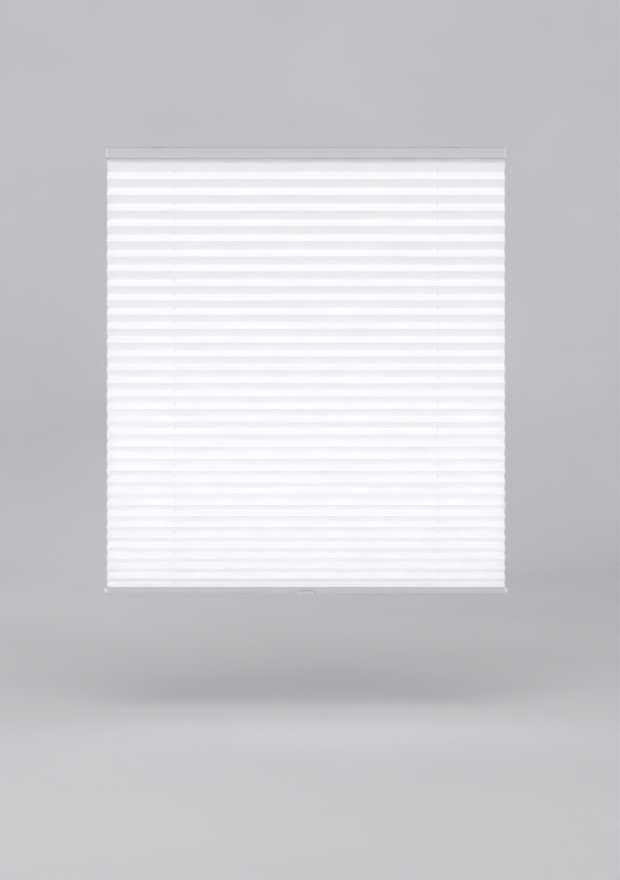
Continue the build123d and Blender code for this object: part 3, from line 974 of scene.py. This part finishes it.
    def sheet(self) -> Thing:
        """Fold the sheet, punch it and give it its thickness.

        Returns:
            The cloth.
        """
        rows, holes = self.rows()
        columns = self.columns()
        corners = int(rows[-1][1]) + 1
        strays = self.strays(corners + 1)
        half = self.width / 2
        mesh = bmesh.new()
        layer = mesh.loops.layers.uv.new("cloth")
        flat: dict[bmesh.types.BMVert, tuple[float, float]] = {}
        grid = []
        along = 0.0
        for number, (point, fold) in enumerate(rows):
            along += (point - rows[number - 1][0]).length if number else 0.0
            index, share = int(fold), fold - int(fold)
            one, two = strays[index], strays[index + 1]
            free = 1.0 if 3 <= fold <= corners - 4 else 0.0
            trim = self.flap_width / self.width if fold <= 2 or fold >= corners - 3 else 1.0
            row = []
            for x in columns:
                wave = self.wave(x, one) * (1 - share) + self.wave(x, two) * share
                stray = self.sway * free * wave
                sag = one[2] * 4 * share * (1 - share)
                place = x * trim
                if abs(x) == half:
                    end = 3 if x < 0 else 4
                    place -= math.copysign(one[end] * (1 - share) + two[end] * share, x) * free
                vertex = mesh.verts.new((place, point.y + 0.6 * stray, point.z + stray - sag))
                flat[vertex] = (x + half, along)
                row.append(vertex)
            grid.append(row)
        punched = {columns.index(side.value * self.cord.x - self.cell) for side in Side}
        for number, (row, below) in enumerate(zip(grid, grid[1:])):
            for column in range(len(columns) - 1):
                cell = (row[column], below[column], below[column + 1], row[column + 1])
                if number in holes and column in punched:
                    self.punch(mesh, cell, flat)
                else:
                    mesh.faces.new(cell)
        for face in mesh.faces:
            for loop in face.loops:
                loop[layer].uv = flat[loop.vert]
        cloth = placed_mesh("pleated_cloth", mesh)
        finish_with(cloth, "SOLIDIFY", thickness=self.thickness, offset=0.0, use_even_offset=True)
        smooth(cloth, 38)
        return cloth

    def punch(self, mesh: bmesh.types.BMesh, cell: Sequence[bmesh.types.BMVert], flat: dict) -> None:
        """Fill one cell of the sheet with four faces round a cord hole.

        Args:
            mesh: The sheet's mesh.
            cell: The cell's corners, in order.
            flat: Each vertex's place on the flat cloth, which the new ones join.
        """
        wide = flat[cell[2]][0] - flat[cell[0]][0]
        tall = flat[cell[1]][1] - flat[cell[0]][1]
        base = flat[cell[0]]
        sides = 16
        ring = []
        for number in range(sides):
            angle = -0.75 * math.pi - math.tau * number / sides
            across = 0.5 + self.hole_radius * math.cos(angle) / wide
            down = 0.5 + self.hole_radius * math.sin(angle) / tall
            left = cell[0].co.lerp(cell[1].co, down)
            right = cell[3].co.lerp(cell[2].co, down)
            vertex = mesh.verts.new(left.lerp(right, across))
            flat[vertex] = (base[0] + wide * across, base[1] + tall * down)
            ring.append(vertex)
        nearest = [min(range(sides), key=lambda n: (ring[n].co - corner.co).length) for corner in cell]
        quarter = sides // 4
        way = 1 if (nearest[1] - nearest[0]) % sides == quarter else -1
        for number, start in enumerate(nearest):
            arc = [ring[(start + way * part) % sides] for part in range(quarter + 1)]
            mesh.faces.new([cell[number], cell[(number + 1) % 4]] + arc[::-1])

    def hang(self) -> Thing:
        """Make the cloth, give it its finish and hide the imported cloth that it stands in for.

        Returns:
            The cloth.
        """
        cloth = self.sheet()
        length = self.flat_length()
        PLEAT_CLOTH.coat(cloth)
        follow_evenly(cloth)
        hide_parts("pleated_fabric")
        log.info("cloth: %.1f mm long when flat", length * 1000)
        return cloth


def follow_evenly(thing: Thing) -> None:
    """Put a piece's place into its mesh and read where its vertices lie.

    Args:
        thing: The piece, with its mesh final.
    """
    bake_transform(thing)
    heights = np.zeros(len(thing.data.vertices) * 3, np.float32)
    thing.data.vertices.foreach_get("co", heights)


# ---------------------------------------------------------------------------- the cords
def tube_along(name: str, points: Sequence[Vector], radius: float, sides: int) -> Thing:
    """A round cord along a line, with a map that goes round it and along it.

    Args:
        name: The piece's name.
        points: The middle of the cord.
        radius: Its radius.
        sides: How many sides it has.

    Returns:
        The cord, closed at both ends.
    """
    mesh = bmesh.new()
    layer = mesh.loops.layers.uv.new("cord")
    rings = []
    run = 0.0
    aside = Vector((0, 1, 0))
    for index, point in enumerate(points):
        before, after = points[max(index - 1, 0)], points[min(index + 1, len(points) - 1)]
        way = (after - before).normalized()
        aside = (aside - way * aside.dot(way)).normalized()
        other = way.cross(aside)
        run += (point - points[index - 1]).length if index else 0.0
        ring = []
        for side in range(sides):
            angle = math.tau * side / sides
            out = math.cos(angle) * aside + math.sin(angle) * other
            ring.append(mesh.verts.new(point + radius * out))
        rings.append((ring, run))
    for (ring, low), (following, high) in zip(rings, rings[1:]):
        for side in range(sides):
            on = (side + 1) % sides
            face = mesh.faces.new((ring[side], ring[on], following[on], following[side]))
            face.smooth = True
            marks = ((side, low), (side + 1, low), (side + 1, high), (side, high))
            for loop, (part, level) in zip(face.loops, marks):
                loop[layer].uv = (part / sides, level)
    mesh.faces.new(rings[0][0][::-1])
    mesh.faces.new(rings[-1][0])
    return placed_mesh(name, mesh)


def spline_points(points: Sequence[Sequence[float]]) -> list[Vector]:
    """Read the smooth line of a NURBS spline with these control points.

    Args:
        points: The control points.

    Returns:
        The points along its line.
    """
    curve = bpy.data.curves.new("route", "CURVE")
    curve.dimensions = "3D"
    curve.resolution_u = 10
    spline = curve.splines.new("NURBS")
    spline.points.add(len(points) - 1)
    for place, control in zip(points, spline.points):
        control.co = (*place, 1.0)
    spline.order_u = 3
    spline.use_endpoint_u = True
    holder = placed("route", curve)
    line = bpy.data.meshes.new_from_object(holder)
    read = [vertex.co.copy() for vertex in line.vertices]
    bpy.data.objects.remove(holder)
    bpy.data.curves.remove(curve)
    bpy.data.meshes.remove(line)
    return read


@dataclass
class LiftCord:
    """One lift cord: from its spool along the head rail, round its roller and down to its knot.

    Attributes:
        side: The half of the blind that it serves.
        route: The control points of the right-hand cord's line.
        radius: The cord's radius.
        knot: The control points of the loose half hitch, from the knot's middle.
        knot_drop: How far the knot's middle hangs below its anchor.
        knot_share: How much of its thickness the cord keeps in the knot.
    """

    side: Side
    route: tuple[tuple[float, float, float], ...] = (
        (0.0255, 0.00625, -0.0061),
        (0.2621, 0.00625, -0.0061),
        (0.2700, 0.00625, -0.0061),
        (0.2700, 0.00625, -0.0140),
        (0.2700, 0.00625, -0.9039),
    )
    radius: float = 0.0004
    knot: tuple[tuple[float, float, float], ...] = (
        (0.0000, 0.0000, 0.0009),
        (0.0005, 0.0002, 0.0005),
        (0.0007, -0.0003, 0.0000),
        (0.0001, -0.0007, -0.0003),
        (-0.0006, -0.0002, -0.0001),
        (-0.0004, 0.0006, 0.0003),
        (0.0004, 0.0006, 0.0001),
        (0.0006, 0.0000, -0.0004),
        (0.0000, -0.0002, -0.0006),
        (-0.0002, 0.0000, -0.0009),
    )
    knot_drop: float = 0.0011
    knot_share: float = 0.9

    def build(self) -> Thing:
        """Make the cord with its knot.

        Returns:
            The cord.
        """
        name = f"lift_line_{self.side.word}"
        turned = [(x * self.side.value, y, z) for x, y, z in self.route]
        cord = tube_along(name, spline_points(turned), self.radius, 10)
        anchor = f"cord_anchor_{self.side.word}"
        middle = middle_of(anchor)
        middle.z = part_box(anchor)[0].z - self.knot_drop
        hitch = [middle + Vector(point) for point in self.knot]
        knot = tube_along(name + "_knot", spline_points(hitch), self.radius * self.knot_share, 8)
        pick(cord, knot)
        bpy.ops.object.join()
        CORD_FIBRE.coat(cord)
        follow_evenly(cord)
        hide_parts(f"lift_cord_{self.side.word}")
        log.info("%s: cord and knot", name)
        return cord


@dataclass
class CordTurns:
    """The turns of cord that lie on a spool in one layer.

    Attributes:
        side: The spool's side.
        radius: The cord's radius.
        turns: How many turns there are.
        facets: Facets in one turn.
    """

    side: Side
    radius: float = 0.00037
    turns: int = 8
    facets: int = 32

    def build(self) -> Thing:
        """Wind the turns and let them turn with their spool.

        Returns:
            The turns.
        """
        node = f"cord_winding_{self.side.word}"
        low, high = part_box(node)
        middle = (low + high) / 2
        pitch = (high.z - low.z - 2 * self.radius) / self.turns
        clear_selection()
        bpy.ops.mesh.primitive_circle_add(vertices=10, radius=self.radius, rotation=(math.pi / 2, 0, 0))
        turns = settle(newly_added(f"cord_turns_{self.side.word}"))
        with editing(turns):
            bpy.ops.transform.translate(value=((high.x - low.x) / 2 - self.radius, 0, 0))
        finish_with(
            turns,
            "SCREW",
            angle=math.tau,
            screw_offset=pitch,
            iterations=self.turns,
            steps=self.facets,
            render_steps=self.facets,
            use_merge_vertices=False,
        )
        turns.location = (middle.x, middle.y, low.z + self.radius)
        settle(turns)
        close_and_turn_out(turns)
        smooth(turns, 50)
        map_by_turn(turns, middle, pitch, self.radius)
        CORD_FIBRE.coat(turns)
        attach(turns, f"{self.side.word}_spool")
        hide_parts(node)
        log.info("%s: %d turns", turns.name, self.turns)
        return turns


def close_and_turn_out(thing: Thing) -> None:
    """Merge a shell's doubles, fill its open ends and turn its faces outwards.

    Args:
        thing: The shell.
    """
    with editing(thing):
        bpy.ops.mesh.remove_doubles(threshold=MERGE_DISTANCE)
        bpy.ops.mesh.fill_holes(sides=0)
        bpy.ops.mesh.select_all(action="SELECT")
        bpy.ops.mesh.normals_make_consistent(inside=False)


def map_by_turn(thing: Thing, middle: Vector, pitch: float, radius: float) -> None:
    """Map wound cord round its own section and along its run.

    Args:
        thing: The wound turns.
        middle: A point on the spool's axis.
        pitch: From one turn to the next.
        radius: The cord's radius.
    """
    layer = thing.data.uv_layers.new(name="cord")
    low = min(vertex.co.z for vertex in thing.data.vertices)
    reach = max(math.hypot(v.co.x - middle.x, v.co.y - middle.y) for v in thing.data.vertices)
    centre = reach - radius
    for polygon in thing.data.polygons:
        face = polygon.center - middle
        around = math.atan2(face.y, face.x) / math.tau
        level = round((polygon.center.z - low - radius) / pitch - around)
        marks = []
        for corner in polygon.loop_indices:
            place = thing.data.vertices[thing.data.loops[corner].vertex_index].co - middle
            angle = math.atan2(place.y, place.x) / math.tau
            angle += round(around - angle)
            height = place.z + middle.z - low - radius - (angle + level) * pitch
            section = math.atan2(height, math.hypot(place.x, place.y) - centre) / math.tau
            marks.append((section, (angle + level) * math.tau * centre))
        for corner, (section, run) in zip(polygon.loop_indices, marks):
            section += round(marks[0][0] - section)
            layer.data[corner].uv = (section, run)


# ---------------------------------------------------------------------------- the spring
@dataclass
class SpringBand:
    """The steel band that is wound on both drums and carries the lower rail's weight.

    Attributes:
        thickness: The band's thickness.
        growth: How much the radius grows in half a turn.
        steps: Facets in half a turn.
        storage_radius: The outermost turn on the storage drum.
        spring_radius: The outermost turn on the spring drum.
        storage_halves: Half turns on the storage drum.
        spring_halves: Half turns on the spring drum.
    """

    thickness: float = 0.00020
    growth: float = 0.00018
    steps: int = 12
    storage_radius: float = 0.00615
    spring_radius: float = 0.00675
    storage_halves: int = 12
    spring_halves: int = 10

    def spin_half(self, centre: Vector, way: int) -> None:
        """Spin the band's open end half a turn: anticlockwise from above where way is 1."""
        bpy.ops.mesh.spin(steps=self.steps, angle=way * math.pi, center=centre, axis=(0, 0, 1))

    def build(self) -> Thing:
        """Wind the band out from the storage drum, across, and in on to the spring drum.

        Returns:
            The band.
        """
        low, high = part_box("spring_band")
        level, height = (low.z + high.z) / 2, high.z - low.z
        storage, spring = middle_of("storage_drum"), middle_of("spring_drum")
        storage.z = spring.z = level
        lean = math.acos((self.storage_radius + self.spring_radius) / (storage - spring).length)
        out = Vector((math.cos(lean), math.sin(lean), 0))
        first = self.storage_radius - (self.storage_halves - 1) * self.growth
        start = storage + out * (self.growth - first)
        clear_selection()
        bpy.ops.mesh.primitive_plane_add(size=1, location=start, rotation=(math.pi / 2, 0, lean))
        band = newly_added("wound_spring")
        band.scale = (self.thickness, height, 1)
        settle(band)
        across = (spring + out * self.spring_radius) - (storage - out * self.storage_radius)
        with editing(band):
            for number in range(self.storage_halves):
                shift = out * self.growth if number % 2 == 0 else Vector()
                self.spin_half(storage + shift, -1)
            bpy.ops.mesh.extrude_region_move(TRANSFORM_OT_translate={"value": across})
            for number in range(self.spring_halves):
                shift = out * -self.growth if number % 2 else Vector()
                self.spin_half(spring + shift, 1)
        close_and_turn_out(band)
        smooth(band, 40)
        SPRING_STEEL.coat(band)
        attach(band, "head")
        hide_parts("spring_band")
        log.info("%s: %d half turns", band.name, self.storage_halves + self.spring_halves)
        return band


# ---------------------------------------------------------------------------- sub-assemblies
@dataclass
class HeadRail:
    """The head rail with its end caps, brackets and the strip that holds the cloth.

    Attributes:
        rail: The finish of the section.
        caps: The finish of the end caps.
        brackets: The finish of the brackets.
    """

    rail: Finish = RAIL_ALUMINIUM
    caps: Finish = CAP_PLASTIC
    brackets: Finish = BRACKET_STEEL

    def dress(self) -> None:
        """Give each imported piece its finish."""
        self.rail.dress("head_rail")
        STRIP_PLASTIC.dress("head_fabric_strip")
        for side in Side:
            self.caps.dress(f"head_cap_{side.word}")
            self.brackets.dress(f"bracket_{side.word}")


@dataclass
class Winder:
    """The spring winder in the head rail, with the cords' turns and their guide rollers.

    Attributes:
        spring: The steel band.
        turns: The cord's turns on each spool.
    """

    spring: SpringBand = field(default_factory=SpringBand)
    turns: list[CordTurns] = field(default_factory=lambda: [CordTurns(side) for side in Side])

    def build(self) -> None:
        """Make the spring and the cord's turns."""
        self.spring.build()
        for turns in self.turns:
            turns.build()

    def dress(self) -> None:
        """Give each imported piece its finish."""
        HOUSING_PLASTIC.dress("motor_base", "motor_cover")
        FASTENER_STEEL.dress("motor_screws", "wheel_axles")
        WHEEL_PLASTIC.dress("spring_drum", "storage_drum")
        for side in Side:
            WHEEL_PLASTIC.dress(f"cord_spool_{side.word}", f"guide_roller_{side.word}")
            FASTENER_STEEL.dress(f"roller_pin_{side.word}")
            HOUSING_PLASTIC.dress(f"roller_cradle_{side.word}")


@dataclass
class LowerRail:
    """The bottom rail with its end caps, cord anchors, cloth strip and finger grip.

    Attributes:
        rail: The finish of the section.
        caps: The finish of the end caps.
        grip: The finish of the grip.
    """

    rail: Finish = RAIL_ALUMINIUM
    caps: Finish = CAP_PLASTIC
    grip: Finish = GRIP_PLASTIC

    def dress(self) -> None:
        """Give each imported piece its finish."""
        self.rail.dress("bottom_rail")
        self.grip.dress("finger_grip")
        STRIP_PLASTIC.dress("bottom_fabric_strip")
        for side in Side:
            self.caps.dress(f"bottom_cap_{side.word}")
            HOUSING_PLASTIC.dress(f"cord_anchor_{side.word}")


# ---------------------------------------------------------------------------- the studio
@dataclass
class Studio:
    """A pale floor that sweeps up far behind the blind, soft light and a level camera.

    Attributes:
        floor: The floor's level.
        wall: How far behind the blind the floor turns up.
        eye: The camera's place.
        lens: Its focal length in millimetres.
        shift: How far the picture is shifted sideways and up.
        air: How bright the even light is from behind and from the front.
        zenith: How much of that is left straight overhead.
        backdrop: How bright the air looks where the floor ends.
        reach: How wide and how deep the floor is.
        height: How high the wall stands.
        bend: The radius of the curve between the two.
    """

    floor: float = -1.16
    wall: float = 4.8
    eye: tuple[float, float, float] = (0.003, -3.0, -0.630)
    lens: float = 59.9
    shift: tuple[float, float] = (0.003, 0.018)
    air: tuple[float, float] = (0.85, 1.12)
    zenith: float = 0.2
    backdrop: float = 0.62
    reach: float = 30.0
    height: float = 5.0
    bend: float = 1.6

    def sweep(self) -> Thing:
        """Make the floor and the wall in one curved sheet.

        Returns:
            The sweep.
        """
        clear_selection()
        place = (0, self.wall - self.reach / 2, self.floor)
        bpy.ops.mesh.primitive_plane_add(size=self.reach, location=place)
        sweep = settle(newly_added("studio_sweep"))
        behind, level = self.wall - 0.01, self.floor + 0.01
        with editing(sweep):
            self.choose_edges(sweep, lambda point: point.y > behind)
            bpy.ops.mesh.extrude_region_move(TRANSFORM_OT_translate={"value": (0, 0, self.height)})
            self.choose_edges(sweep, lambda point: point.y > behind and point.z < level)
            bpy.ops.mesh.bevel(offset=self.bend, segments=24, profile=0.5)
            bpy.ops.mesh.select_all(action="SELECT")
            bpy.ops.mesh.normals_make_consistent(inside=False)
        smooth(sweep, 60)
        sweep.data.materials.append(self.paper())
        return sweep

    def choose_edges(self, thing: Thing, wanted: Callable[[Vector], bool]) -> None:
        """Select the edges whose both ends pass a test.

        Args:
            thing: The object, in edit mode.
            wanted: The test of a point.
        """
        bpy.ops.mesh.select_mode(type="EDGE")
        bpy.ops.mesh.select_all(action="DESELECT")
        mesh = bmesh.from_edit_mesh(thing.data)
        for edge in mesh.edges:
            if all(wanted(vertex.co) for vertex in edge.verts):
                edge.select = True
        mesh.select_flush_mode()
        bmesh.update_edit_mesh(thing.data)

    def paper(self) -> bpy.types.Material:
        """The sweep's pale, faintly clouded paper.

        Returns:
            The material.
        """
        made = bpy.data.materials.new("studio_paper")
        made.use_nodes = True
        surface = made.node_tree.nodes["Principled BSDF"]
        w = Wiring(made.node_tree)
        place = w.node("TexCoord").outputs["Object"]
        cloud = w.clamped(w.noise(place, 1.4, 3.0), 0.35, 0.65)
        colours = ((0.80, 0.805, 0.815, 1.0), (0.77, 0.775, 0.785, 1.0))
        w.put(w.mixed(cloud, *colours), surface.inputs["Base Color"])
        w.put(w.spread(w.noise(place, 260.0), 0.86, 0.95), surface.inputs["Roughness"])
        return made

    def lamp(
        self,
        name: str,
        place: Sequence[float],
        size: Sequence[float],
        power: float,
        aim: Sequence[float] = (0.0, 0.0, -0.5),
        spread: float = 180.0,
    ) -> None:
        """Hang one soft lamp that neither the camera nor a gloss sees.

        Args:
            name: The lamp's name.
            place: Where it hangs.
            size: Its width and height.
            power: Its power in watts.
            aim: The point that it faces.
            spread: How wide its light fans out, in degrees.
        """
        data = bpy.data.lights.new(name, "AREA")
        data.shape = "RECTANGLE"
        data.size, data.size_y = size
        data.energy = power
        data.spread = math.radians(spread)
        lamp = placed(name, data)
        lamp.location = place
        way = Vector(aim) - Vector(place)
        lamp.rotation_euler = way.to_track_quat("-Z", "Y").to_euler()
        lamp.visible_camera = False
        lamp.visible_glossy = False

    def light(self) -> None:
        """Set the even light, strongest from the room and weak overhead, and four soft lamps."""
        world = bpy.data.worlds.new("studio_air")
        bpy.context.scene.world = world
        world.use_nodes = True
        w = Wiring(world.node_tree)
        air = world.node_tree.nodes["Background"]
        air.inputs["Color"].default_value = (0.975, 0.98, 1.0, 1.0)
        way = w.node("TexCoord").outputs["Generated"]
        parts = w.node("SeparateXYZ", {0: way}).outputs
        from_room = w.ranged(parts[1], (1.0, -1.0), self.air)
        overhead = w.ranged(parts[2], (0.0, 0.8), (1.0, self.zenith))
        w.put(w.math("MULTIPLY", from_room, overhead), air.inputs["Strength"])
        seen = w.node("Background", {"Color": (0.98, 0.985, 1.0, 1.0), "Strength": self.backdrop})
        chosen = w.node("MixShader", {0: w.node("LightPath").outputs["Is Camera Ray"]})
        w.put(air.outputs[0], chosen.inputs[1])
        w.put(seen.outputs[0], chosen.inputs[2])
        w.put(chosen.outputs[0], world.node_tree.nodes["World Output"].inputs["Surface"])
        self.lamp("lamp_front", (0.0, -4.4, -0.25), (5.0, 2.0), 56.0)
        self.lamp("lamp_above", (0.0, -1.9, 2.2), (2.6, 2.0), 36.0)
        self.lamp("lamp_low", (0.0, -1.5, -1.0), (2.4, 0.12), 1.3, (0.0, 0.0, -0.8), 60.0)
        self.lamp("lamp_glass", (-1.4, 3.2, 1.5), (2.6, 1.8), 26.0)

    def camera(self) -> None:
        """Set up the level camera that looks at the blind from the room."""
        data = bpy.data.cameras.new("eye")
        data.lens = self.lens
        data.sensor_width = 36.0
        data.shift_x, data.shift_y = self.shift
        data.clip_start, data.clip_end = 0.05, 60.0
        camera = placed("eye", data)
        camera.location = self.eye
        camera.rotation_euler = (math.pi / 2, 0, 0)
        bpy.context.scene.camera = camera

    def build(self) -> None:
        """Make the whole studio and let white stay white."""
        self.camera()
        self.sweep()
        self.light()
        bpy.context.scene.view_settings.view_transform = "Standard"
        log.info("studio: ready")


def main() -> None:
    """Build the studio and the blind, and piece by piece."""
    logging.basicConfig(level=logging.INFO, format="%(name)s: %(message)s")
    Studio().build()
    PleatedCloth().hang()
    for side in Side:
        LiftCord(side).build()
    winder = Winder()
    winder.build()
    winder.dress()
    HeadRail().dress()
    LowerRail().dress()
    log.info("sizes: written")


if __name__ == "__main__":
    main()
